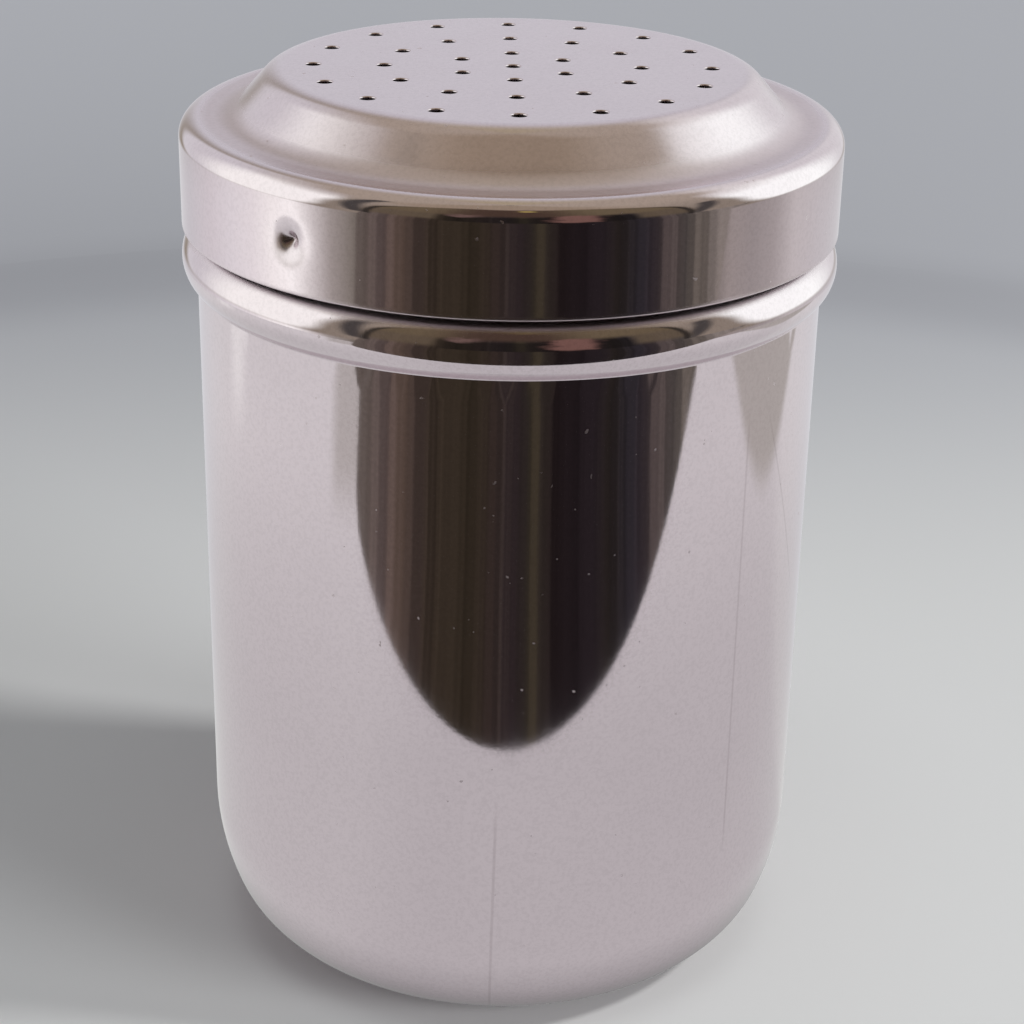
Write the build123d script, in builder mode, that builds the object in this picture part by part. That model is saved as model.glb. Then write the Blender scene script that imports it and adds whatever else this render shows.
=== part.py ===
from build123d import *

import os
from math import acos, cos, degrees, radians, sin

# A two-piece sheet-steel shaker for salt, spice or flour: a deep-drawn cup, and a perforated
# lid that drops over the cup's neck and locks with a short turn, in a bayonet catch.
#
# Millimetres, +Z up. The origin is the centre of the foot, so the shaker stands on the XY
# plane, and its front faces -Y. Outlines are drawn on the outside of the sheet, from the
# centre line outwards, and thickened to the inside.

# ---------------------------------------------------------------- driving dimensions
height = 96.0  # from the foot to the top of the lid
sheet = 0.6  # thickness of both pressings
edge_round = 0.2  # deburred edges of the mouth and of the skirt

# cup
body_radius = 32.1  # straight wall, and the neck above the bead
corner_low_radius = 10.0  # the corner starts tight at the foot
corner_high_radius = 26.0  # and opens out into the wall
corner_high_angle = 20.5  # degrees of the corner that have the larger radius
panel_radius = 13.0  # the middle of the foot is raised, so that the shaker doesn't rock
panel_step_radius = 10.0
panel_step_angle = 12.0
bead_radius = 33.6  # outermost point of the bead that the lid's skirt comes down to
bead_section_radius = 3.4
bead_fillet = 0.3
bead_height = 77.2  # middle of the bead
rim_height = 90.4  # mouth of the cup, inside the lid

# lid
lid_radius = 33.5
skirt_bottom = 80.45
plate_radius = 22.9  # flat, perforated part of the top
plate_rim_radius = 3.0
slope_angle = 48.0  # cone from the plate down to the ledge, below the horizontal
slope_length = 3.3
valley_radius = 3.5
shoulder_radius = 2.0

# sprinkle holes: (radius of the ring, number of holes)
hole_rings = [(0.0, 1), (5.9, 6), (12.9, 12), (20.0, 16)]
hole_radius = 0.75
hole_start_angle = 91.8

# bayonet catch: two dimples in the skirt, and the two channels in the neck that they enter
dimple_angles = [232.7, 52.7]  # about Z, from +X
dimple_height = 85.5
dish_radius = 3.0  # the shallow dish round each dimple
dish_depth = 0.5
punch_radius = 1.2
punch_depth = 1.65
punch_tip_radius = 0.5
channel_half_width = 2.4
channel_depth = 1.2
lock_angle = 22.0  # how far the lid turns to lock, clockwise from above

# ---------------------------------------------------------------- derived dimensions
corner_low_angle = 90.0 - corner_high_angle
corner_middle_radius = body_radius - corner_high_radius
corner_middle_radius += (corner_high_radius - corner_low_radius) * cos(radians(corner_high_angle))
panel_rise = 2.0 * panel_step_radius * (1.0 - cos(radians(panel_step_angle)))

# the bead's arc meets the wall and the neck through fillets, bead_angle from the horizontal
bead_middle_radius = bead_radius - bead_section_radius
bead_reach = bead_section_radius + bead_fillet
bead_angle = degrees(acos((body_radius + bead_fillet - bead_middle_radius) / bead_reach))
bead_foot = bead_height - bead_reach * sin(radians(bead_angle))

channel_floor = dimple_height - channel_half_width
channel_ceiling = dimple_height + channel_half_width
channel_turn = degrees(channel_half_width / body_radius)
wall_turn = degrees(sheet / body_radius)


def radial_plane(angle):
    """The plane through Z at this angle: its x runs outwards and its y runs up."""
    outwards = (cos(radians(angle)), sin(radians(angle)), 0)
    return Plane(origin=(0, 0, 0), x_dir=outwards, z_dir=(outwards[1], -outwards[0], 0))


def ring_sector(radii, heights, start, end, mode):
    """Adds or cuts a piece of a ring about Z, between two angles."""
    with BuildSketch(radial_plane(start)) as profile:
        with Locations(((radii[0] + radii[1]) / 2, (heights[0] + heights[1]) / 2)):
            Rectangle(radii[1] - radii[0], heights[1] - heights[0])
    revolve(profile.sketch, axis=Axis.Z, revolution_arc=end - start, mode=mode)


def pressed_channel(angle, wall, mode):
    """The L-shaped channel of one dimple, with walls of this thickness round it."""
    radii = (body_radius - channel_depth - wall, body_radius - sheet / 2 if wall else lid_radius)
    side = channel_turn + wall_turn * (wall > 0)
    bottom = channel_floor - wall
    mouth = rim_height if wall else height
    locked = angle - lock_angle - side
    ring_sector(radii, (bottom, mouth), angle - side, angle + side, mode)
    ring_sector(radii, (bottom, channel_ceiling + wall), locked, angle, mode)


def dimple(angle, depth, widen, back, mode):
    """Adds or cuts the funnel of one dimple, turned about the line straight into the skirt."""
    inwards = (-cos(radians(angle)), -sin(radians(angle)), 0)
    on_skirt = (-inwards[0] * lid_radius, -inwards[1] * lid_radius, dimple_height)
    plane = Plane(origin=on_skirt, x_dir=inwards, z_dir=(inwards[1], -inwards[0], 0))
    dish_edge = (depth, dish_radius)
    punch_edge = (depth + dish_depth, punch_radius + widen)
    with BuildSketch(plane) as profile:
        with BuildLine():
            TangentArc(dish_edge, punch_edge, tangent=(0, -1))
            tip = Line(punch_edge, (depth + punch_depth, punch_tip_radius + widen))
            Polyline(tip @ 1, ((tip @ 1).X, 0), (back, 0), (back, dish_radius), dish_edge)
        make_face()
    revolve(profile.sketch, axis=Axis(on_skirt, inwards), mode=mode)


# ---------------------------------------------------------------- cup
with BuildPart() as cup:
    with BuildSketch(Plane.XZ):
        with BuildLine():
            panel = Line((0, panel_rise), (panel_radius, panel_rise))
            step_down = JernArc(panel @ 1, panel % 1, panel_step_radius, -panel_step_angle)
            step_out = JernArc(step_down @ 1, step_down % 1, panel_step_radius, panel_step_angle)
            foot = Line(step_out @ 1, (corner_middle_radius, 0))
            corner_low = JernArc(foot @ 1, foot % 1, corner_low_radius, corner_low_angle)
            corner_high = JernArc(corner_low @ 1, corner_low % 1, corner_high_radius, corner_high_angle)
            wall = Line(corner_high @ 1, (body_radius, bead_foot))
            bead_out = JernArc(wall @ 1, wall % 1, bead_fillet, -bead_angle)
            bead = JernArc(bead_out @ 1, bead_out % 1, bead_section_radius, 2 * bead_angle)
            bead_in = JernArc(bead @ 1, bead % 1, bead_fillet, -bead_angle)
            Line(bead_in @ 1, (body_radius, rim_height))
            offset(amount=sheet, side=Side.LEFT)
        make_face()
    revolve(axis=Axis.Z)
    fillet(cup.edges().filter_by(GeomType.CIRCLE).group_by(Axis.Z)[-1], edge_round)
    for dimple_angle in dimple_angles:
        pressed_channel(dimple_angle, sheet, Mode.ADD)
    for dimple_angle in dimple_angles:
        pressed_channel(dimple_angle, 0, Mode.SUBTRACT)
cup.part.label = "cup"

# ---------------------------------------------------------------- lid
with BuildPart() as lid:
    with BuildSketch(Plane.XZ):
        with BuildLine():
            plate = Line((0, height), (plate_radius, height))
            plate_rim = JernArc(plate @ 1, plate % 1, plate_rim_radius, -slope_angle)
            slope = Line(plate_rim @ 1, plate_rim @ 1 + (plate_rim % 1) * slope_length)
            valley = JernArc(slope @ 1, slope % 1, valley_radius, slope_angle)
            ledge = Line(valley @ 1, (lid_radius - shoulder_radius, (valley @ 1).Y))
            shoulder = JernArc(ledge @ 1, ledge % 1, shoulder_radius, -90)
            Line(shoulder @ 1, (lid_radius, skirt_bottom))
            offset(amount=sheet, side=Side.RIGHT)
        make_face()
    revolve(axis=Axis.Z)
    fillet(lid.edges().filter_by(GeomType.CIRCLE).group_by(Axis.Z)[0], edge_round)
    for dimple_angle in dimple_angles:
        dimple(dimple_angle, sheet - 0.05, 0.35, sheet / 2, Mode.ADD)
        dimple(dimple_angle, -0.05, 0, -sheet, Mode.SUBTRACT)
    with BuildSketch(Plane.XY.offset(height)):
        for ring_radius, hole_count in hole_rings:
            with PolarLocations(ring_radius, hole_count, start_angle=hole_start_angle):
                Circle(hole_radius)
    extrude(amount=-2 * sheet, mode=Mode.SUBTRACT)
lid.part.label = "lid"

# ---------------------------------------------------------------- one file for each piece
os.makedirs("parts", exist_ok=True)
export_step(cup.part, "parts/cup.step")
export_step(lid.part, "parts/lid.step")
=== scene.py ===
from math import acos, cos, degrees, hypot, pi, radians, sin

import bpy
import numpy as np
from mathutils import Matrix, Vector, geometry


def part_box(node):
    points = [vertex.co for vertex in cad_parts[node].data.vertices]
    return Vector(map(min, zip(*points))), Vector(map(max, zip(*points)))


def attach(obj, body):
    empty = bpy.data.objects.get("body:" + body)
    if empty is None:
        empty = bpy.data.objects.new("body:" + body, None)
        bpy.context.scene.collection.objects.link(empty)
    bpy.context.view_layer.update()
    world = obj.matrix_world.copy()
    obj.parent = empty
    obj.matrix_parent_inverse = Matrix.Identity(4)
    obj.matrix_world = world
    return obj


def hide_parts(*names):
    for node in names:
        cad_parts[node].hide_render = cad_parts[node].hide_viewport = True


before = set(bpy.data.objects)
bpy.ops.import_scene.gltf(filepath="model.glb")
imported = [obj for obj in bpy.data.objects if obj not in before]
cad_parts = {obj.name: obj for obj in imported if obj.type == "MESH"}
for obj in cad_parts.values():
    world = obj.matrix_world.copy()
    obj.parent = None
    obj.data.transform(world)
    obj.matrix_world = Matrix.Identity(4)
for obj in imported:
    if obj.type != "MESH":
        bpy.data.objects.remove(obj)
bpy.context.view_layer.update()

# The looks of a sheet-steel shaker: a deep-drawn cup with a beaded neck, and a perforated lid.
# Sizes here are in millimetres and are turned into metres when a mesh or a light is made.
# Angles about Z are in degrees: from +X for what is pressed into the steel, as in the CAD, and
# from the front (-Y) towards +X for what the steel mirrors.
MM = 0.001

# ---------------------------------------------------------------- sizes
_, cup_high = (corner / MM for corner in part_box("cup"))
lid_low, lid_high = (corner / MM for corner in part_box("lid"))
height = lid_high.z
bead_radius = cup_high.x
rim_height = cup_high.z
lid_radius = lid_high.x
skirt_bottom = lid_low.z

# both pressings
sheet = 0.6
edge_round = 0.2

# cup
body_radius = 32.1
corner_low_radius = 10.0
corner_high_radius = 26.0
corner_high_angle = 20.5
panel_radius = 13.0
panel_step_radius = 10.0
panel_step_angle = 12.0
bead_section_radius = 3.4
bead_fillet = 0.3
bead_height = 77.2

# lid
plate_radius = 22.9
plate_rim_radius = 3.0
slope_angle = 48.0
slope_length = 3.3
valley_radius = 3.5
shoulder_radius = 2.0
hole_rings = [(0.0, 1), (5.9, 6), (12.9, 12), (20.0, 16)]
hole_radius = 0.75
hole_start_angle = 91.8
hole_roll = 0.16  # rounding where the punch went in
hole_break = 0.05  # rounding where it came out

# bayonet catch
dimple_angles = [52.7, 232.7]
dimple_height = 85.5
dish_radius = 3.0
dish_depth = 0.5
punch_radius = 1.2
punch_depth = 1.65
dish_spread = dish_radius / 1.9
punch_spread = punch_radius / 1.6
dish_share = 0.5  # how much of the CAD's depth the dish has here
punch_share = 0.62  # the same for the funnel: shallower than the CAD's, to look like the real one
channel_half_width = 2.4
channel_depth = 1.2
channel_slant = 0.8  # width of the channel's sloping sides
lock_angle = 22.0

# unevenness of the real steel
cup_wave = 0.05
lid_wave = 0.03
ripple = 0.006  # of the corner under the bead
plate_swell = 0.012
hole_sink = 0.03  # how far the plate is drawn down round each hole
hole_sink_radius = 1.15
inset = 0.012  # keeps the waves inside the CAD's box

# derived
corner_low_angle = 90.0 - corner_high_angle
corner_middle_radius = body_radius - corner_high_radius
corner_middle_radius += (corner_high_radius - corner_low_radius) * cos(radians(corner_high_angle))
panel_rise = 2.0 * panel_step_radius * (1.0 - cos(radians(panel_step_angle)))
bead_middle_radius = bead_radius - bead_section_radius
bead_reach = bead_section_radius + bead_fillet
bead_angle = degrees(acos((body_radius + bead_fillet - bead_middle_radius) / bead_reach))
bead_rise = bead_reach * sin(radians(bead_angle))


# ---------------------------------------------------------------- outlines
class Outline:
    """A profile of the sheet, drawn like a pen: radius, height and heading at each row of the mesh.

    `outside` is 1 where the outside of the sheet is on the pen's left, -1 where it is on its right.
    """

    def __init__(self, radius, z, outside):
        self.outside = outside
        self.rows = [(radius, z, 0.0)]

    @property
    def pen(self):
        return self.rows[-1]

    def line(self, length, stops=(1.0,)):
        """A straight run; stops are the fractions of it that get a row."""
        r, z, heading = self.pen
        a = radians(heading)
        for stop in stops:
            self.rows.append((r + length * stop * cos(a), z + length * stop * sin(a), heading))

    def arc(self, radius, turn, steps):
        """A tangent arc that turns left by `turn` degrees, or right where it is negative."""
        r, z, heading = self.pen
        side = radius if turn > 0 else -radius
        middle = (r - side * sin(radians(heading)), z + side * cos(radians(heading)))
        for step in range(1, steps + 1):
            ahead = heading + turn * step / steps
            a = radians(ahead)
            self.rows.append((middle[0] + side * sin(a), middle[1] - side * cos(a), ahead))

    def around(self):
        """The outside, the rounded edge of the sheet and then the inside, back to the start."""
        towards_inside = -90 * self.outside
        outer = len(self.rows)
        self.arc(edge_round, towards_inside, 4)
        self.line(sheet - 2 * edge_round)
        self.arc(edge_round, towards_inside, 4)
        back = []
        for r, z, heading in reversed(self.rows[:outer]):
            a = radians(heading)
            inside = sheet * self.outside
            back.append((r + inside * sin(a), z - inside * cos(a), heading + 180))
        return self.rows + back[1:]


def crowded(low, high, count, places=(), width=1.0, crowd=0.0):
    """count + 1 values from low to high, packed closer together near each of the places."""
    fine = np.linspace(low, high, 6001)
    weight = np.ones_like(fine)
    for place in places:
        weight += crowd * np.exp(-(((fine - place) / width) ** 4))
    total = np.concatenate([[0.0], np.cumsum((weight[1:] + weight[:-1]) / 2)])
    return np.interp(np.linspace(0, total[-1], count + 1), total, fine)


def even(steps):
    return [step / steps for step in range(1, steps + 1)]


def cup_outline():
    """From the edge of the raised middle of the foot, out, up the wall, over the bead, to the mouth."""
    pen = Outline(panel_radius, panel_rise, outside=-1)
    pen.arc(panel_step_radius, -panel_step_angle, 3)
    pen.arc(panel_step_radius, panel_step_angle, 3)
    pen.line(corner_middle_radius - pen.pen[0], even(2))
    pen.arc(corner_low_radius, corner_low_angle, 20)
    pen.arc(corner_high_radius, corner_high_angle, 8)
    pen.line(bead_height - bead_rise - pen.pen[1], even(26))
    pen.arc(bead_fillet, -bead_angle, 4)
    pen.arc(bead_section_radius, 2 * bead_angle, 24)
    pen.arc(bead_fillet, -bead_angle, 4)
    pen.line(rim_height - edge_round - pen.pen[1], even(42))
    return pen


def lid_outline():
    """From the edge of the flat plate, down the slope, over the ledge and the shoulder, down the skirt."""
    pen = Outline(plate_radius, height, outside=1)
    pen.arc(plate_rim_radius, -slope_angle, 14)
    pen.line(slope_length, even(2))
    pen.arc(valley_radius, slope_angle, 12)
    pen.line(lid_radius - shoulder_radius - pen.pen[0], even(2))
    pen.arc(shoulder_radius, -90, 16)
    skirt = pen.pen[1] - skirt_bottom - edge_round
    near_dimple = pen.pen[1] - dimple_height
    stops = crowded(0, skirt, 62, [near_dimple], 3.0, 5.0)[1:]
    pen.line(skirt, stops / skirt)
    return pen


# ---------------------------------------------------------------- meshes
class Shell:
    """Points, exact normals and faces of one closed piece, in millimetres."""

    def __init__(self):
        self.points = []
        self.normals = []
        self.faces = []

    def add(self, points, normals):
        """Adds points with their normals and returns their indices."""
        first = sum(len(block) for block in self.points)
        self.points.append(np.asarray(points, float))
        self.normals.append(np.asarray(normals, float))
        return np.arange(first, first + len(points))

    def bridge(self, rings, flip):
        """Quads between each two neighbouring closed rings of indices."""
        for low, high in zip(rings[:-1], rings[1:]):
            quads = np.stack([low, np.roll(low, -1), np.roll(high, -1), high], axis=-1)
            self.faces.extend((quads[:, ::-1] if flip else quads).tolist())

    def lathe(self, rows, angles, outside):
        """Turns the rows about Z and returns the index ring of each row."""
        across = np.stack([np.cos(angles), np.sin(angles), 0 * angles], axis=-1)
        rings = []
        for r, z, heading in rows:
            a = radians(heading)
            out_r = -sin(a) * outside
            out_z = cos(a) * outside
            points = across * r + (0, 0, z)
            rings.append(self.add(points, across * out_r + (0, 0, out_z)))
        self.bridge(rings, flip=outside > 0)
        return rings

    def disc(self, ring, z, up, holes=(), hole_edge=0.0):
        """Fills a ring of indices with a flat sheet that has round holes; returns the holes' rings."""
        border = np.concatenate(self.points)[ring][:, :2]
        reach = np.linalg.norm(border[0])
        corners = [tuple(p) for p in border]
        edges = [(i, (i + 1) % len(border)) for i in range(len(border))]
        hole_turns = np.arange(HOLE_STEPS) * 2 * pi / HOLE_STEPS
        circle = np.stack([np.cos(hole_turns), np.sin(hole_turns)], axis=-1)
        hole_starts = []
        for middle in holes:
            hole_starts.append(len(corners))
            first = len(corners)
            corners += [tuple(p) for p in middle + circle * hole_edge]
            edges += [(first + i, first + (i + 1) % HOLE_STEPS) for i in range(HOLE_STEPS)]
            corners += [tuple(p) for p in middle + circle[::2] * (hole_edge + HOLE_MARGIN)]
        corners += disc_grid(reach - GRID_STEP / 2, holes, hole_edge + 2 * HOLE_MARGIN)
        flat, _, triangles, sources, _, _ = geometry.delaunay_2d_cdt(
            [Vector(p) for p in corners], edges, [], 0, 1e-7, True
        )
        flat = np.array(flat)
        new_of = {old: new for new, olds in enumerate(sources) for old in olds}
        middles = flat[np.array(triangles)].mean(axis=1)
        kept = np.linalg.norm(middles, axis=1) < reach
        for middle in holes:
            kept &= np.linalg.norm(middles - middle, axis=1) > hole_edge
        on_border = np.array([new_of[i] for i in range(len(border))])
        inner = np.setdiff1d(np.arange(len(flat)), on_border)
        points = np.column_stack([flat[inner], np.full(len(inner), z)])
        normals = np.tile((0.0, 0.0, 1.0 if up else -1.0), (len(inner), 1))
        index = np.zeros(len(flat), int)
        index[inner] = self.add(points, normals)
        index[on_border] = ring
        for a, b, c in np.array(triangles)[kept]:
            corner_a, corner_b, corner_c = flat[a], flat[b], flat[c]
            u, v = corner_b - corner_a, corner_c - corner_a
            counterclockwise = u[0] * v[1] - u[1] * v[0] > 0
            face = (a, b, c) if counterclockwise == up else (a, c, b)
            self.faces.append([int(index[i]) for i in face])
        return [index[[new_of[first + i] for i in range(HOLE_STEPS)]] for first in hole_starts]

    def press(self, field):
        """Moves every point by field(points), and turns the normals to match."""
        points = np.concatenate(self.points)
        normals = np.concatenate(self.normals)
        helper = np.where(np.abs(normals[:, 2:]) < 0.9, (0.0, 0.0, 1.0), (1.0, 0.0, 0.0))
        first = np.cross(helper, normals)
        first /= np.linalg.norm(first, axis=1, keepdims=True)
        second = np.cross(normals, first)
        small = 1e-3
        bent = []
        for tangent in (first, second):
            ahead = field(points + small * tangent) - field(points - small * tangent)
            bent.append(tangent + ahead / (2 * small))
        turned = np.cross(bent[0], bent[1])
        self.normals = [turned / np.linalg.norm(turned, axis=1, keepdims=True)]
        self.points = [points + field(points)]

    def piece(self, name):
        """A Blender object of the shell, in metres, with its exact normals."""
        mesh = bpy.data.meshes.new(name)
        mesh.from_pydata((np.concatenate(self.points) * MM).tolist(), [], self.faces)
        mesh.shade_smooth()
        mesh.normals_split_custom_set_from_vertices(np.concatenate(self.normals).tolist())
        mesh.update()
        piece = bpy.data.objects.new(name, mesh)
        bpy.context.scene.collection.objects.link(piece)
        return piece


HOLE_STEPS = 24
HOLE_MARGIN = 0.45
GRID_STEP = 1.5


def disc_grid(reach, holes, clear):
    """A triangular grid of points within reach of the axis, clear of the holes."""
    points = []
    rows = int(reach / GRID_STEP / sin(pi / 3)) + 1
    for row in range(-rows, rows + 1):
        for column in range(-2 * rows, 2 * rows + 1):
            x = GRID_STEP * (column + 0.5 * (row % 2))
            y = GRID_STEP * sin(pi / 3) * row
            near = any(hypot(x - hole[0], y - hole[1]) < clear for hole in holes)
            if hypot(x, y) < reach and not near:
                points.append((x, y))
    return points


def smooth(value, low, high):
    """0 below low, 1 above high, and an S-shaped step between them."""
    t = np.clip((value - low) / (high - low), 0, 1)
    return t * t * (3 - 2 * t)


def outwards(points):
    """The direction from the axis to each point, level."""
    level = points * (1, 1, 0)
    return level / np.maximum(np.linalg.norm(level, axis=1, keepdims=True), 1e-9)


def turn_from(points, angle):
    """How far round the axis each point is from an angle, in degrees from -180 to 180."""
    around = np.degrees(np.arctan2(points[:, 1], points[:, 0]))
    return (around - angle + 180) % 360 - 180


def waves(points, seed, amplitude):
    """A few broad, shallow swells round and along a wall, as hand forming and handling leave them."""
    random = np.random.default_rng(seed)
    turn = np.arctan2(points[:, 1], points[:, 0])
    total = 0.0
    for _ in range(9):
        lobes = random.integers(2, 9)
        length = random.uniform(22, 60)
        phase, slide = random.uniform(0, 2 * pi, 2)
        total = total + np.cos(lobes * turn + phase) * np.cos(2 * pi * points[:, 2] / length + slide)
    return amplitude * total / 9


# ---------------------------------------------------------------- cup
def channel_field(points):
    """How far the two L-shaped channels press the neck inwards."""
    pressed = np.zeros(len(points))
    for angle in dimple_angles:
        along = np.radians(turn_from(points, angle)) * body_radius
        z = points[:, 2]
        upright = np.maximum(np.abs(along), dimple_height - z)
        lock_end = -radians(lock_angle) * body_radius
        sideways = np.maximum(np.maximum(lock_end - along, along), 0)
        level = np.hypot(sideways, z - dimple_height)
        edge = np.minimum(upright, level)
        slant = channel_slant / 2
        side = smooth(-edge, -channel_half_width - slant, -channel_half_width + slant)
        pressed = np.maximum(pressed, channel_depth * side)
    return pressed


def ripples(points):
    """The slightly uneven corner where the wall runs into the bead."""
    turn = np.arctan2(points[:, 1], points[:, 0])
    lobes = ((31, 0.4), (47, 2.1), (73, 4.0), (103, 1.2))
    total = sum(np.cos(count * turn + phase) for count, phase in lobes)
    return ripple * total * np.exp(-(((points[:, 2] - bead_height + bead_rise + 0.2) / 0.8) ** 2))


def cup_field(points):
    """How far each point of the cup is moved: the channels, the waves and the ripples."""
    wall = smooth(points[:, 2], 6.0, 20.0)
    neck = smooth(points[:, 2], bead_height + bead_rise, bead_height + bead_rise + 1.0)
    amount = -channel_field(points) * neck - inset * wall
    amount += waves(points, 4, cup_wave) * wall * (1 - neck) + ripples(points)
    return outwards(points) * amount[:, None]


def cup_shell():
    shell = Shell()
    pen = cup_outline()
    places = [angle - lock_angle / 2 for angle in dimple_angles]
    start = dimple_angles[0] - 90
    angles = np.radians(crowded(start, start + 360, 336, places, 17.0, 1.2)[:-1])
    rings = shell.lathe(pen.around(), angles, pen.outside)
    shell.disc(rings[0], panel_rise, up=False)
    shell.disc(rings[-1], panel_rise + sheet, up=True)
    shell.press(cup_field)
    return shell.piece("cup_shell")


# ---------------------------------------------------------------- lid
def hole_places():
    """The middles of the sprinkle holes."""
    places = []
    for ring_radius, count in hole_rings:
        for i in range(count):
            a = radians(hole_start_angle + 360 * i / count)
            places.append(np.array((ring_radius * cos(a), ring_radius * sin(a))))
    return places


def dimple_field(points):
    """How far the two dimples of the catch press the skirt inwards."""
    pressed = np.zeros(len(points))
    for angle in dimple_angles:
        along = np.radians(turn_from(points, angle)) * lid_radius
        away = np.hypot(along, points[:, 2] - dimple_height)
        dish = dish_share * dish_depth * np.exp(-((away / dish_spread) ** 2))
        punch = punch_share * (punch_depth - dish_depth) * np.exp(-((away / punch_spread) ** 2))
        pressed += dish + punch
    return pressed


def lid_field(points):
    """How far each point of the lid is moved: the dimples, the waves and the plate's sunken holes."""
    level = np.hypot(points[:, 0], points[:, 1])
    skirt = smooth(level, plate_radius + 6, lid_radius - 1.5)
    plate = 1 - smooth(level, plate_radius - 2, plate_radius + 4)
    amount = -dimple_field(points) * skirt + (waves(points, 7, lid_wave) - inset) * skirt
    swell = np.cos(points[:, 0] / 5.1 + 0.4) * np.cos(points[:, 1] / 6.3 - 0.8)
    sunk = np.zeros(len(points))
    for middle in hole_places():
        away = np.hypot(points[:, 0] - middle[0], points[:, 1] - middle[1])
        sunk += np.exp(-((away / hole_sink_radius) ** 2))
    drop = (plate_swell * (swell - 1) - hole_sink * sunk) * plate
    return outwards(points) * amount[:, None] + drop[:, None] * (0, 0, 1)


def hole_wall(shell, top_ring, bottom_ring, middle):
    """The rounded edges and the wall of one sprinkle hole, between its rings in the two faces."""
    rows = []
    for step in (1, 2, 3, 4):
        a = radians(90 * step / 4)
        edge = hole_radius + hole_roll * (1 - sin(a))
        rows.append((edge, height - hole_roll * (1 - cos(a)), -sin(a), cos(a)))
    for step in (0, 1):
        a = radians(90 * step / 2)
        edge = hole_radius + hole_break * (1 - cos(a))
        rows.append((edge, height - sheet + hole_break * (1 - sin(a)), -cos(a), -sin(a)))
    turns = np.arange(HOLE_STEPS) * 2 * pi / HOLE_STEPS
    across = np.stack([np.cos(turns), np.sin(turns), 0 * turns], axis=-1)
    rings = [top_ring]
    for edge, z, out_r, out_z in rows:
        points = across * edge + (middle[0], middle[1], z)
        rings.append(shell.add(points, across * out_r + (0, 0, out_z)))
    rings.append(bottom_ring)
    shell.bridge(rings, flip=False)


def lid_shell():
    shell = Shell()
    pen = lid_outline()
    start = dimple_angles[0] - 90
    angles = np.radians(crowded(start, start + 360, 330, dimple_angles, 6.0, 5.0)[:-1])
    rings = shell.lathe(pen.around(), angles, pen.outside)
    holes = hole_places()
    tops = shell.disc(rings[0], height, True, holes, hole_radius + hole_roll)
    bottoms = shell.disc(rings[-1], height - sheet, False, holes, hole_radius + hole_break)
    for top_ring, bottom_ring, middle in zip(tops, bottoms, holes):
        hole_wall(shell, top_ring, bottom_ring, middle)
    shell.press(lid_field)
    return shell.piece("lid_shell")


# ---------------------------------------------------------------- node materials
class Nodes:
    """Short calls for building a material's nodes. Any argument may be a number or a socket."""

    def __init__(self, name):
        self.material = bpy.data.materials.new(name)
        self.material.use_nodes = True
        self.tree = self.material.node_tree
        self.tree.nodes.clear()

    def node(self, kind, inputs, **settings):
        node = self.tree.nodes.new(kind)
        for key, value in settings.items():
            setattr(node, key, value)
        for key, value in inputs.items():
            if isinstance(value, bpy.types.NodeSocket):
                self.tree.links.new(value, node.inputs[key])
            else:
                node.inputs[key].default_value = value
        return node

    def math(self, operation, *values, clamp=False):
        inputs = dict(enumerate(values))
        return self.node("ShaderNodeMath", inputs, operation=operation, use_clamp=clamp).outputs[0]

    def vector(self, operation, *values):
        node = self.node("ShaderNodeVectorMath", dict(enumerate(values)), operation=operation)
        return node.outputs["Value" if operation in ("LENGTH", "DISTANCE", "DOT_PRODUCT") else "Vector"]

    def combine(self, x, y, z):
        return self.node("ShaderNodeCombineXYZ", {0: x, 1: y, 2: z}).outputs[0]

    def separate(self, vector):
        return self.node("ShaderNodeSeparateXYZ", {0: vector}).outputs

    def step(self, value, low, high, to_low=0.0, to_high=1.0):
        """An S-shaped step from to_low to to_high as the value goes from low to high."""
        inputs = {0: value, 1: low, 2: high, 3: to_low, 4: to_high}
        return self.node("ShaderNodeMapRange", inputs, interpolation_type="SMOOTHSTEP").outputs[0]

    def mix(self, factor, a, b):
        node = self.node("ShaderNodeMix", {0: factor}, data_type="RGBA")
        for key, value in ((6, a), (7, b)):
            if isinstance(value, bpy.types.NodeSocket):
                self.tree.links.new(value, node.inputs[key])
            else:
                node.inputs[key].default_value = (*value, 1.0)
        return node.outputs[2]

    def noise(self, vector, scale, detail=2.0, roughness=0.5):
        inputs = {"Vector": vector, "Scale": scale, "Detail": detail, "Roughness": roughness}
        return self.node("ShaderNodeTexNoise", inputs).outputs["Fac"]

    def ramp(self, value, stops, low=0.0, high=1.0):
        """Colours at values between low and high; stops are (value, colour)."""
        scaled = self.node("ShaderNodeMapRange", {0: value, 1: low, 2: high}).outputs[0]
        node = self.node("ShaderNodeValToRGB", {0: scaled})
        elements = node.color_ramp.elements
        elements.remove(elements[0])
        elements[0].position = 0.0
        elements[0].color = (*stops[0][1], 1.0)
        for place, colour in stops:
            elements.new((place - low) / (high - low)).color = (*colour, 1.0)
        return node.outputs["Color"]


# ---------------------------------------------------------------- what the steel mirrors
# Azimuths are from the front towards +X, elevations above the horizon. The room in front of the
# shaker is dark, with a soft white panel on each side and a warm ceiling. The shaker stands on a
# pale table whose front edge is close.
table_reach = 254.0
table_level = 0.2
dark_front_level = 0.3
room_reach = 1500.0
table_front = [
    (900, -71),
    (170, -91),
    (-100, -98),
    (-117, -100),
    (-130, -106),
    (-143, -117),
    (-900, -780),
]
far_front = [(-900, -1100), (900, -1100)]  # where the dark floor in front of the table ends


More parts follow.
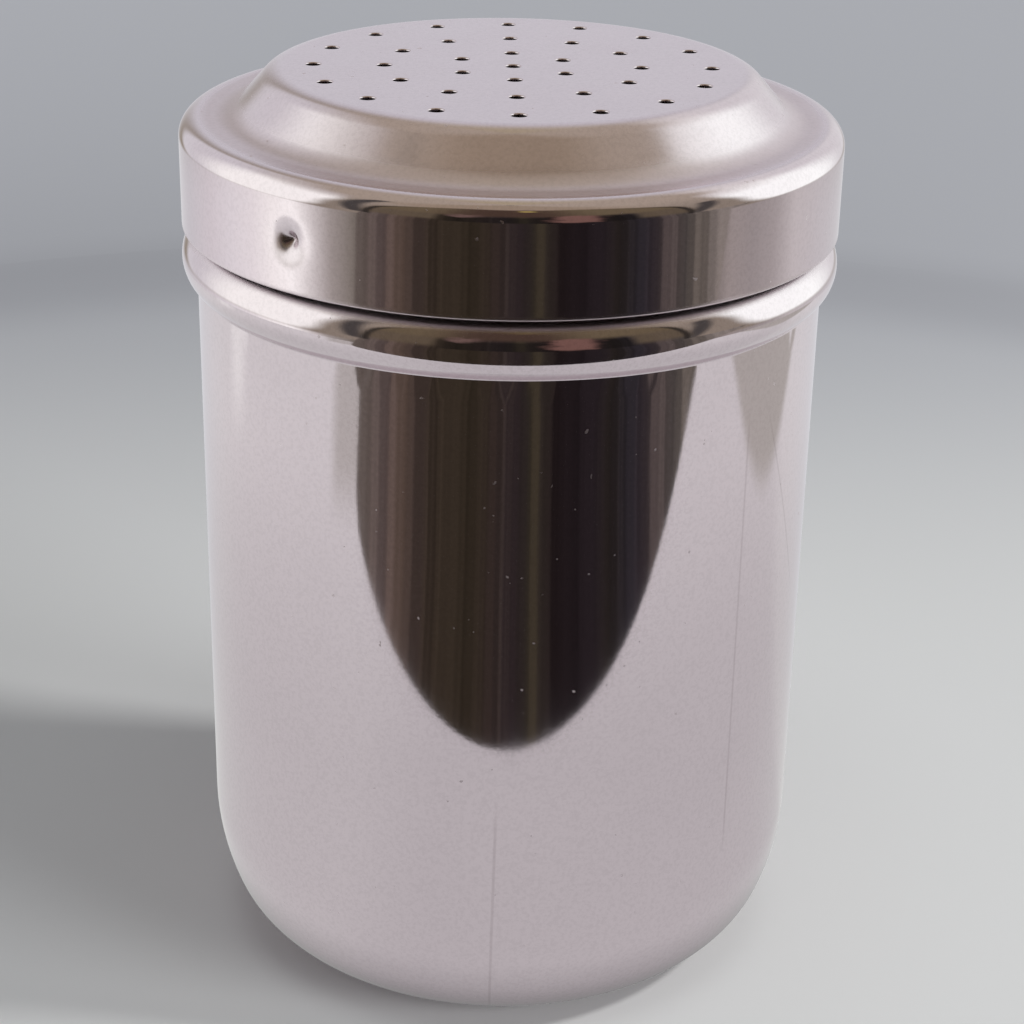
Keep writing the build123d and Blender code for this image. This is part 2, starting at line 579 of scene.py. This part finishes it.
def streak_colour(nodes, azimuth):
    """The dark room in front: brown, black and navy streaks side by side."""
    stops = [
        (-64, (0.42, 0.39, 0.35)),
        (-58, (0.30, 0.27, 0.23)),
        (-52, (0.25, 0.22, 0.19)),
        (-47, (0.145, 0.125, 0.105)),
        (-41, (0.14, 0.112, 0.10)),
        (-35, (0.12, 0.090, 0.068)),
        (-30, (0.07, 0.054, 0.044)),
        (-24, (0.047, 0.037, 0.026)),
        (-16, (0.042, 0.034, 0.022)),
        (-9, (0.04, 0.03, 0.025)),
        (-6, (0.055, 0.044, 0.038)),
        (-3, (0.033, 0.025, 0.026)),
        (2, (0.030, 0.026, 0.020)),
        (4, (0.080, 0.068, 0.042)),
        (6, (0.038, 0.032, 0.025)),
        (13, (0.019, 0.014, 0.014)),
        (30, (0.020, 0.016, 0.018)),
        (34, (0.025, 0.021, 0.018)),
        (42, (0.028, 0.026, 0.030)),
        (46, (0.045, 0.038, 0.042)),
        (52, (0.105, 0.088, 0.080)),
        (58, (0.085, 0.078, 0.070)),
        (63, (0.16, 0.145, 0.12)),
        (70, (0.26, 0.24, 0.21)),
    ]
    # fine upright lines over the broad ones
    fine = nodes.noise(nodes.combine(azimuth, 0.0, 0.0), 0.45, 3.0, 0.6)
    azimuth = nodes.math("ADD", azimuth, nodes.step(fine, 0.3, 0.7, -1.6, 1.6))
    colour = nodes.ramp(azimuth, stops, -70, 76)
    light = nodes.step(nodes.noise(nodes.combine(azimuth, 3.7, 0.0), 0.33, 2.0, 0.7), 0.3, 0.75, 0.7, 1.5)
    return nodes.vector("MULTIPLY", colour, nodes.combine(light, light, light))


def low_wall_colour(nodes, azimuth):
    """What shows over the table's far side, all round: the feet of the panels and of the walls."""
    stops = [
        (-165, (0.72, 0.72, 0.74)),
        (-144, (0.72, 0.72, 0.74)),
        (-123, (0.86, 0.85, 0.86)),
        (-109, (0.99, 1.00, 1.00)),
        (-97, (1.09, 1.10, 1.08)),
        (-87, (1.25, 1.28, 1.22)),
        (-78, (1.37, 1.42, 1.35)),
        (-69, (0.84, 0.84, 0.80)),
        (-62, (0.48, 0.46, 0.42)),
        (-54, (0.29, 0.27, 0.23)),
        (-48, (0.14, 0.13, 0.10)),
        (48, (0.07, 0.06, 0.06)),
        (55, (0.115, 0.105, 0.09)),
        (63, (0.155, 0.14, 0.12)),
        (71, (0.225, 0.205, 0.18)),
        (79, (0.43, 0.40, 0.37)),
        (89, (0.42, 0.40, 0.38)),
        (100, (0.50, 0.48, 0.46)),
        (112, (0.73, 0.72, 0.70)),
        (130, (0.72, 0.72, 0.72)),
        (165, (0.70, 0.70, 0.72)),
    ]
    return nodes.ramp(azimuth, stops, -180, 180)


def direction(nodes):
    """Azimuth and elevation of the point being shaded, seen from the axis, in degrees."""
    place = nodes.node("ShaderNodeTexCoord", {}).outputs["Object"]
    x, y, z = nodes.separate(place)
    azimuth = nodes.math("DEGREES", nodes.math("ARCTAN2", x, nodes.math("MULTIPLY", y, -1.0)))
    level = nodes.vector("LENGTH", nodes.combine(x, y, 0.0))
    elevation = nodes.math("DEGREES", nodes.math("ARCTAN2", z, level))
    return azimuth, elevation


def rounded_box(nodes, azimuth, elevation, low, high, corner):
    """Distance in degrees outside a rounded box from low to high, negative inside it."""
    middle = ((low[0] + high[0]) / 2, (low[1] + high[1]) / 2, 0.0)
    half = ((high[0] - low[0]) / 2 - corner, (high[1] - low[1]) / 2 - corner, 0.0)
    place = nodes.vector("SUBTRACT", nodes.combine(azimuth, elevation, 0.0), middle)
    over = nodes.vector("SUBTRACT", nodes.vector("ABSOLUTE", place), half)
    outside = nodes.vector("LENGTH", nodes.vector("MAXIMUM", over, (0.0, 0.0, 0.0)))
    across, up, _ = nodes.separate(over)
    inside = nodes.math("MINIMUM", nodes.math("MAXIMUM", across, up), 0.0)
    return nodes.math("SUBTRACT", nodes.math("ADD", outside, inside), corner)


def between(nodes, value, low, high, soft):
    """1 between low and high, 0 outside, with edges this soft."""
    rise = nodes.step(value, low - soft, low + soft)
    return nodes.math("MULTIPLY", rise, nodes.step(value, high + soft, high - soft))


def glow(nodes, colour):
    """Finishes a material that only glows."""
    emission = nodes.node("ShaderNodeEmission", {"Color": colour, "Strength": 1.0})
    output = nodes.node("ShaderNodeOutputMaterial", {})
    nodes.tree.links.new(emission.outputs[0], output.inputs["Surface"])
    nodes.material.cycles.emission_sampling = "NONE"
    return nodes.material


def room_material():
    """The dome of walls, ceiling, panels and dark room that only the steel mirrors."""
    nodes = Nodes("mirrored_room")
    azimuth, elevation = direction(nodes)

    # walls and ceiling, warm, and paler behind the shaker
    aside = nodes.math("ABSOLUTE", azimuth)
    behind = nodes.step(aside, 148, 172)
    wall = nodes.mix(nodes.step(elevation, 20, 70), (0.34, 0.30, 0.24), (0.50, 0.44, 0.35))
    over_front = nodes.math("MULTIPLY", nodes.step(aside, 75, 35), nodes.step(elevation, 45, 60))
    wall = nodes.mix(over_front, wall, (0.40, 0.33, 0.24))
    high_behind = nodes.step(elevation, 35, 75)
    back = nodes.mix(high_behind, (0.72, 0.72, 0.76), (0.50, 0.44, 0.30))
    colour = nodes.mix(behind, wall, back)
    colour = nodes.mix(nodes.step(elevation, -6, -13), colour, low_wall_colour(nodes, azimuth))

    # dark strips beside the panels
    for low, high, lean in (((57, -12), (65, 36), 0.37), ((-54, 0), (-46, 60), -0.22)):
        leaning = nodes.math("SUBTRACT", azimuth, nodes.math("MULTIPLY", elevation, lean))
        strip = rounded_box(nodes, leaning, elevation, low, high, 3.5)
        colour = nodes.mix(nodes.step(strip, 2.5, -2.5), colour, (0.085, 0.08, 0.075))

    # the dark room in front, under a low rounded arch with a thin black outline
    arch = rounded_box(nodes, azimuth, elevation, (-49, -95), (62, 63), 34)
    streaks = streak_colour(nodes, azimuth)
    black = nodes.math("MULTIPLY", between(nodes, azimuth, -22, 42, 3), between(nodes, elevation, -4, 25, 4))
    streaks = nodes.mix(nodes.math("MULTIPLY", black, 0.6), streaks, (0.012, 0.011, 0.010))
    olive = nodes.math("MAXIMUM", nodes.step(azimuth, -22, -27), nodes.step(azimuth, 40, 45))
    olive = nodes.math("MULTIPLY", olive, nodes.step(elevation, -2, 12))
    streaks = nodes.mix(nodes.math("MULTIPLY", olive, 0.85), streaks, (0.16, 0.13, 0.085))
    brown = nodes.mix(nodes.step(aside, 10, 35), (0.088, 0.058, 0.042), (0.18, 0.145, 0.088))
    streaks = nodes.mix(nodes.step(elevation, 24, 36), streaks, brown)
    sideways, up = (nodes.math("DIVIDE", angle, 9.0) for angle in (azimuth, elevation))
    ragged = nodes.noise(nodes.combine(sideways, up, 0.0), 1.0, 3.0)
    ragged = nodes.math("MULTIPLY", nodes.math("SUBTRACT", ragged, 0.45), 16.0)
    for low, high, colour_there in (
        ((13, 0), (31, 33), (0.24, 0.135, 0.11)),
        ((-21, 20), (-9, 36), (0.21, 0.14, 0.12)),
        ((-3, -14), (3, -6), (0.085, 0.085, 0.09)),
    ):
        patch = nodes.math("ADD", rounded_box(nodes, azimuth, elevation, low, high, 4), ragged)
        streaks = nodes.mix(nodes.step(patch, 2.5, -4.0, 0.0, 0.95), streaks, colour_there)
    colour = nodes.mix(nodes.step(arch, 3.0, -3.0), colour, streaks)
    outline = nodes.step(nodes.math("ABSOLUTE", nodes.math("ADD", arch, 1.5)), 2.2, 0.4)
    outline = nodes.math("MULTIPLY", outline, nodes.step(elevation, -14, 2, 0.15, 0.9))
    outline = nodes.math("MULTIPLY", outline, nodes.step(elevation, 56, 30))
    colour = nodes.mix(outline, colour, (0.03, 0.027, 0.024))

    # a small yellow lamp above the dark room
    lamp = rounded_box(nodes, azimuth, elevation, (4, 54), (11, 59), 2.5)
    colour = nodes.mix(nodes.step(lamp, 1.5, -1.5), colour, (0.60, 0.50, 0.16))

    # the two panels, fainter towards their tops
    left = rounded_box(nodes, azimuth, elevation, (-150, -14), (-66, 56), 24)
    light = nodes.mix(nodes.step(azimuth, -134, -104), (0.80, 0.80, 0.82), (1.32, 1.38, 1.30))
    light = nodes.mix(nodes.step(elevation, 34, 56), light, (0.66, 0.63, 0.58))
    above = nodes.step(elevation, -13, -6)
    colour = nodes.mix(nodes.math("MULTIPLY", nodes.step(left, 5.0, -4.0), above), colour, light)
    right = rounded_box(nodes, azimuth, elevation, (84, -10), (165, 55), 24)
    light = nodes.mix(nodes.step(azimuth, 150, 122), (0.85, 0.85, 0.86), (1.40, 1.52, 1.45))
    light = nodes.mix(nodes.step(elevation, 32, 58), light, (0.93, 0.93, 0.89))
    colour = nodes.mix(nodes.math("MULTIPLY", nodes.step(right, 5.0, -4.0), above), colour, light)
    return glow(nodes, colour)


def dark_front_material():
    """The floor in front of the table, with the dark room's streaks drawn out over it."""
    nodes = Nodes("mirrored_dark_front")
    azimuth, _ = direction(nodes)
    aside = nodes.step(nodes.math("ABSOLUTE", azimuth), 24, 8, 0.0, 5.5)
    return glow(nodes, streak_colour(nodes, nodes.math("SUBTRACT", azimuth, aside)))


def mirrored_table_material():
    """The pale table: paler further out, with a painted shadow close round the foot, brown in two far
    patches.
    """
    nodes = Nodes("mirrored_table")
    azimuth, _ = direction(nodes)
    place = nodes.node("ShaderNodeTexCoord", {}).outputs["Object"]
    x, y, _ = nodes.separate(place)
    away = nodes.math("DIVIDE", nodes.vector("LENGTH", nodes.combine(x, y, 0.0)), MM)
    far = nodes.step(away, 75, 200)
    colour = nodes.mix(far, (0.655, 0.66, 0.655), (0.79, 0.80, 0.79))
    left = nodes.mix(far, (0.70, 0.71, 0.70), (0.86, 0.875, 0.86))
    colour = nodes.mix(nodes.step(azimuth, -15, -50), colour, left)
    colour = nodes.mix(nodes.step(azimuth, 107, 116), colour, left)
    behind = nodes.step(nodes.math("ABSOLUTE", azimuth), 115, 160)
    colour = nodes.mix(nodes.math("MULTIPLY", behind, 0.6), colour, (0.62, 0.62, 0.68))
    aside = nodes.math("POWER", nodes.math("DIVIDE", nodes.math("SUBTRACT", azimuth, 102.0), 15.0), 2.0)
    brown = nodes.math("SUBTRACT", away, nodes.math("MULTIPLY", aside, 42.0))
    brown = nodes.step(brown, 150, 172)
    left = nodes.math("MULTIPLY", between(nodes, azimuth, -60, -48, 2.5), nodes.step(away, 150, 185))
    brown = nodes.math("MAXIMUM", brown, nodes.math("MULTIPLY", left, 0.8))
    colour = nodes.mix(brown, colour, (0.55, 0.545, 0.50))
    bright = nodes.math("MULTIPLY", between(nodes, azimuth, -113, -105, 4), nodes.step(away, 165, 215))
    colour = nodes.mix(nodes.math("MULTIPLY", bright, 0.6), colour, (1.15, 1.2, 1.15))
    # painted shadow of the shaker on the mirrored table, darkest at the foot
    shade = nodes.step(away, 18, 39, 0.16, 1.0)
    colour = nodes.vector("MULTIPLY", colour, nodes.combine(shade, shade, shade))
    return glow(nodes, colour)


def plain_mesh(name, points, faces, material, smooth_faces=True):
    """A mesh object from points in millimetres."""
    mesh = bpy.data.meshes.new(name)
    mesh.from_pydata([tuple(c * MM for c in p) for p in points], [], faces)
    if smooth_faces:
        mesh.shade_smooth()
    mesh.materials.append(material)
    piece = bpy.data.objects.new(name, mesh)
    bpy.context.scene.collection.objects.link(piece)
    return piece


def only_mirrored(piece):
    """The object shows in the steel and nowhere else."""
    piece.visible_camera = False
    piece.visible_diffuse = False
    piece.visible_shadow = False
    piece.visible_transmission = False


def turned_surface(rows, columns=128):
    """Points and faces of rows (radius, z) turned about Z."""
    points, faces = [], []
    for r, z in rows:
        points += [(r * cos(2 * pi * c / columns), r * sin(2 * pi * c / columns), z) for c in range(columns)]
    for row in range(len(rows) - 1):
        for c in range(columns):
            a, b = row * columns + c, row * columns + (c + 1) % columns
            faces.append((a, b, b + columns, a + columns))
    return points, faces


def mirrored_room():
    rows = []
    for elevation in range(-89, 90, 2):
        a = radians(elevation)
        rows.append((room_reach * cos(a), room_reach * sin(a)))
    points, faces = turned_surface(rows)
    only_mirrored(plain_mesh("mirrored_room", points, faces, room_material()))
    points, faces = turned_surface([(r, table_level) for r in (0.01, 60, table_reach)])
    only_mirrored(plain_mesh("mirrored_table", points, faces, mirrored_table_material()))
    front = [(x, y, dark_front_level) for x, y in far_front + table_front]
    face = tuple(range(len(front)))
    only_mirrored(plain_mesh("mirrored_dark_front", front, [face], dark_front_material(), False))


# ---------------------------------------------------------------- floor and light
floor_radius = 254.0
sweep_radius = 300.0
sweep_height = 1400.0
sweep_steps = 24


def floor_material():
    nodes = Nodes("pale_floor")
    place = nodes.node("ShaderNodeTexCoord", {}).outputs["Object"]
    mottle = nodes.noise(place, 9.0, 3.0)
    colour = nodes.mix(mottle, (0.845, 0.85, 0.845), (0.865, 0.87, 0.865))
    x, y, _ = nodes.separate(place)
    away = nodes.math("DIVIDE", nodes.vector("LENGTH", nodes.combine(x, y, 0.0)), MM)
    # painted shade: the floor and the sweep are painted darker and bluer from 60 mm to 240 mm behind the
    # shaker
    far_shade = nodes.step(nodes.math("DIVIDE", y, MM), 60, 240)
    colour = nodes.mix(nodes.math("MULTIPLY", far_shade, 0.9), colour, (0.585, 0.595, 0.64))
    # painted shade in the bend where the floor turns up into the sweep, towards the back only
    bend_shade = nodes.step(nodes.math("ABSOLUTE", nodes.math("SUBTRACT", away, 238.0)), 34, 4)
    bend_shade = nodes.math("MULTIPLY", bend_shade, nodes.math("MULTIPLY", far_shade, 0.55))
    colour = nodes.mix(bend_shade, colour, (0.49, 0.495, 0.53))
    diffuse = nodes.node("ShaderNodeBsdfDiffuse", {"Color": colour})
    output = nodes.node("ShaderNodeOutputMaterial", {})
    nodes.tree.links.new(diffuse.outputs[0], output.inputs["Surface"])
    return nodes.material


def floor_and_sweep():
    material = floor_material()
    points, faces = turned_surface([(r, 0.0) for r in (0.01, 60, 150, floor_radius)])
    floor = plain_mesh("floor", points, faces, material)
    floor.visible_glossy = False
    rows = []
    for step in range(sweep_steps + 1):
        a = radians(90 * step / sweep_steps)
        rows.append((floor_radius + sweep_radius * sin(a), sweep_radius * (1 - cos(a))))
    rows.append((floor_radius + sweep_radius, sweep_height))
    points, faces = turned_surface(rows)
    sweep = plain_mesh("sweep", points, faces, material)
    sweep.visible_diffuse = False
    sweep.visible_glossy = False
    sweep.visible_shadow = False


def area_light(name, azimuth, elevation, distance, size, power, colour):
    """A round light aimed at the shaker, which the steel doesn't mirror."""
    light = bpy.data.lights.new(name, "AREA")
    light.shape = "DISK"
    light.size = size * MM
    light.energy = power
    light.color = colour
    lamp = bpy.data.objects.new(name, light)
    a, e = radians(azimuth), radians(elevation)
    towards = Vector((sin(a) * cos(e), -cos(a) * cos(e), sin(e)))
    lamp.location = (towards * distance + Vector((0, 0, height / 3))) * MM
    lamp.rotation_euler = towards.to_track_quat("Z", "Y").to_euler()
    lamp.visible_glossy = False
    lamp.visible_camera = False
    bpy.context.scene.collection.objects.link(lamp)
    return lamp


def lights():
    area_light("key", 84, 44, 1500, 200, 8.0, (1.0, 0.995, 0.985))
    area_light("overhead", 0, 80, 700, 400, 0.75, (0.98, 0.99, 1.0))
    area_light("low_fill", 60, 12, 900, 450, 5.4, (0.98, 0.99, 1.0))
    world = bpy.data.worlds.new("pale_room")
    world.use_nodes = True
    background = world.node_tree.nodes["Background"]
    background.inputs["Color"].default_value = (0.93, 0.96, 1.0, 1.0)
    background.inputs["Strength"].default_value = 0.16
    bpy.context.scene.world = world
    bpy.context.scene.view_settings.view_transform = "Standard"


def camera():
    """In front of the shaker and above it, looking down at it, and held very slightly askew."""
    distance, above_lid = 230.13, 52.21
    pitch, yaw, roll = radians(23.70), radians(0.19), radians(1.123)
    data = bpy.data.cameras.new("camera")
    data.lens = 81.32
    data.sensor_width = 36.0
    data.clip_start = 0.01
    data.clip_end = 20.0
    eye = bpy.data.objects.new("camera", data)
    turn = Matrix.Rotation(-yaw, 4, "Z") @ Matrix.Rotation(pi / 2 - pitch, 4, "X")
    turn = turn @ Matrix.Rotation(roll, 4, "Z")
    eye.matrix_world = Matrix.Translation(Vector((0, -distance, height + above_lid)) * MM) @ turn
    bpy.context.scene.collection.objects.link(eye)
    bpy.context.scene.camera = eye


# ---------------------------------------------------------------- steel
ledge_radii = (27.4, 31.2)  # the satin ledge round the lid
lid_satin = 0.13  # each of these is added to the roughness
ledge_satin = 0.2
dimple_satin = 0.17
band_dullness = 0.3
speck_dullness = 0.35
bump_height = 0.0000012  # metres


def steel(name, fine_lines, dull_band, satin_inside=None, dimples=(), hairlines=()):
    """Polished stainless sheet with a faint orange peel, drawing lines and handling marks.

    It is dull between the two heights of dull_band, satin within the two radii of
    satin_inside, which the satin fades between, and satin in the dimples.
    """
    nodes = Nodes(name)
    place = nodes.node("ShaderNodeTexCoord", {}).outputs["Object"]
    x, y, z = nodes.separate(place)

    # colour: a pinkish steel, a little duller in patches
    cloud = nodes.noise(place, 60.0, 3.0, 0.6)
    colour = nodes.mix(cloud, (0.665, 0.585, 0.625), (0.71, 0.625, 0.665))
    grain = nodes.noise(place, 2300.0, 3.0, 0.75)
    colour = nodes.mix(nodes.step(grain, 0.42, 0.64, 0.0, 0.34), colour, (0.55, 0.485, 0.515))
    around = nodes.math("ARCTAN2", x, nodes.math("MULTIPLY", y, -1.0))
    for turn, lean, low, high in hairlines:
        off = nodes.math("SUBTRACT", nodes.math("DEGREES", around), turn)
        off = nodes.math("SUBTRACT", off, nodes.math("MULTIPLY", z, lean / MM))
        line = nodes.step(nodes.math("ABSOLUTE", off), 0.40, 0.10, 0.0, 0.35)
        line = nodes.math("MULTIPLY", line, between(nodes, z, low * MM, high * MM, 3 * MM))
        colour = nodes.mix(line, colour, (0.42, 0.36, 0.38))

    # roughness: polished, with soft smears
    smear = nodes.noise(nodes.vector("MULTIPLY", place, (1.0, 1.0, 0.35)), 95.0, 4.0, 0.6)
    rough = nodes.step(smear, 0.35, 0.75, 0.045, 0.085)
    if satin_inside:
        away = nodes.math("DIVIDE", nodes.vector("LENGTH", nodes.combine(x, y, 0.0)), MM)
        satin = nodes.step(away, satin_inside[1], satin_inside[0])
        rough = nodes.math("ADD", rough, nodes.math("MULTIPLY", satin, lid_satin))
        ledge = between(nodes, away, ledge_radii[0], ledge_radii[1], 0.8)
        rough = nodes.math("ADD", rough, nodes.math("MULTIPLY", ledge, ledge_satin))
    for angle in dimples:
        a = radians(angle)
        middle = Vector((lid_radius * cos(a), lid_radius * sin(a), dimple_height)) * MM
        near = nodes.vector("DISTANCE", place, middle)
        rough = nodes.math("ADD", rough, nodes.step(near, 3.2 * MM, 0.9 * MM, 0.0, dimple_satin))
    dull = between(nodes, z, dull_band[0] * MM, dull_band[1] * MM, 0.3 * MM)
    rough = nodes.math("ADD", rough, nodes.math("MULTIPLY", dull, band_dullness))
    speck = nodes.step(nodes.noise(place, 1300.0, 1.0), 0.76, 0.80, 0.0, speck_dullness)
    rough = nodes.math("ADD", rough, speck, clamp=True)

    # relief: orange peel, upright lines from drawing, and fine scratches round the axis
    peel = nodes.noise(place, 2800.0, 2.0, 0.6)
    coarse_peel = nodes.noise(place, 900.0, 2.0, 0.5)
    along = nodes.combine(nodes.math("MULTIPLY", around, 30.0), 0.0, nodes.math("MULTIPLY", z, 12.0))
    upright = nodes.noise(along, 4.0, 3.0, 0.6)
    relief = nodes.math("ADD", nodes.math("MULTIPLY", peel, 0.35), nodes.math("MULTIPLY", coarse_peel, 0.7))
    relief = nodes.math("ADD", relief, nodes.math("MULTIPLY", upright, fine_lines))
    bump = nodes.node("ShaderNodeBump", {"Strength": 1.0, "Distance": bump_height, "Height": relief})

    shader = nodes.node(
        "ShaderNodeBsdfPrincipled",
        {"Base Color": colour, "Metallic": 1.0, "Roughness": rough, "Normal": bump.outputs[0]},
    )
    output = nodes.node("ShaderNodeOutputMaterial", {})
    nodes.tree.links.new(shader.outputs[0], output.inputs["Surface"])
    return nodes.material


# ---------------------------------------------------------------- scene
# faint upright hairlines in the cup: turn from the front, lean in degrees a millimetre, heights
hairlines = [(47.0, 0.0, 20, 66), (101.0, -0.72, 46, 65), (-1.5, 0.03, 2, 28)]

# heights between which the steel is dull: the top of the bead, and the cut edge of the skirt
bead_band = (79.2, 80.6)
edge_band = (skirt_bottom - 1, skirt_bottom + 0.3)
satin_top = (31.6, 33.1)  # the lid is satin within these radii

cup = cup_shell()
cup.data.materials.append(steel("cup_steel_finish", 0.6, bead_band, hairlines=hairlines))
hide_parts("cup")
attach(cup, "cup")

lid = lid_shell()
lid.data.materials.append(steel("lid_steel_finish", 0.3, edge_band, satin_top, dimple_angles))
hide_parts("lid")
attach(lid, "lid")

mirrored_room()
floor_and_sweep()
lights()
camera()
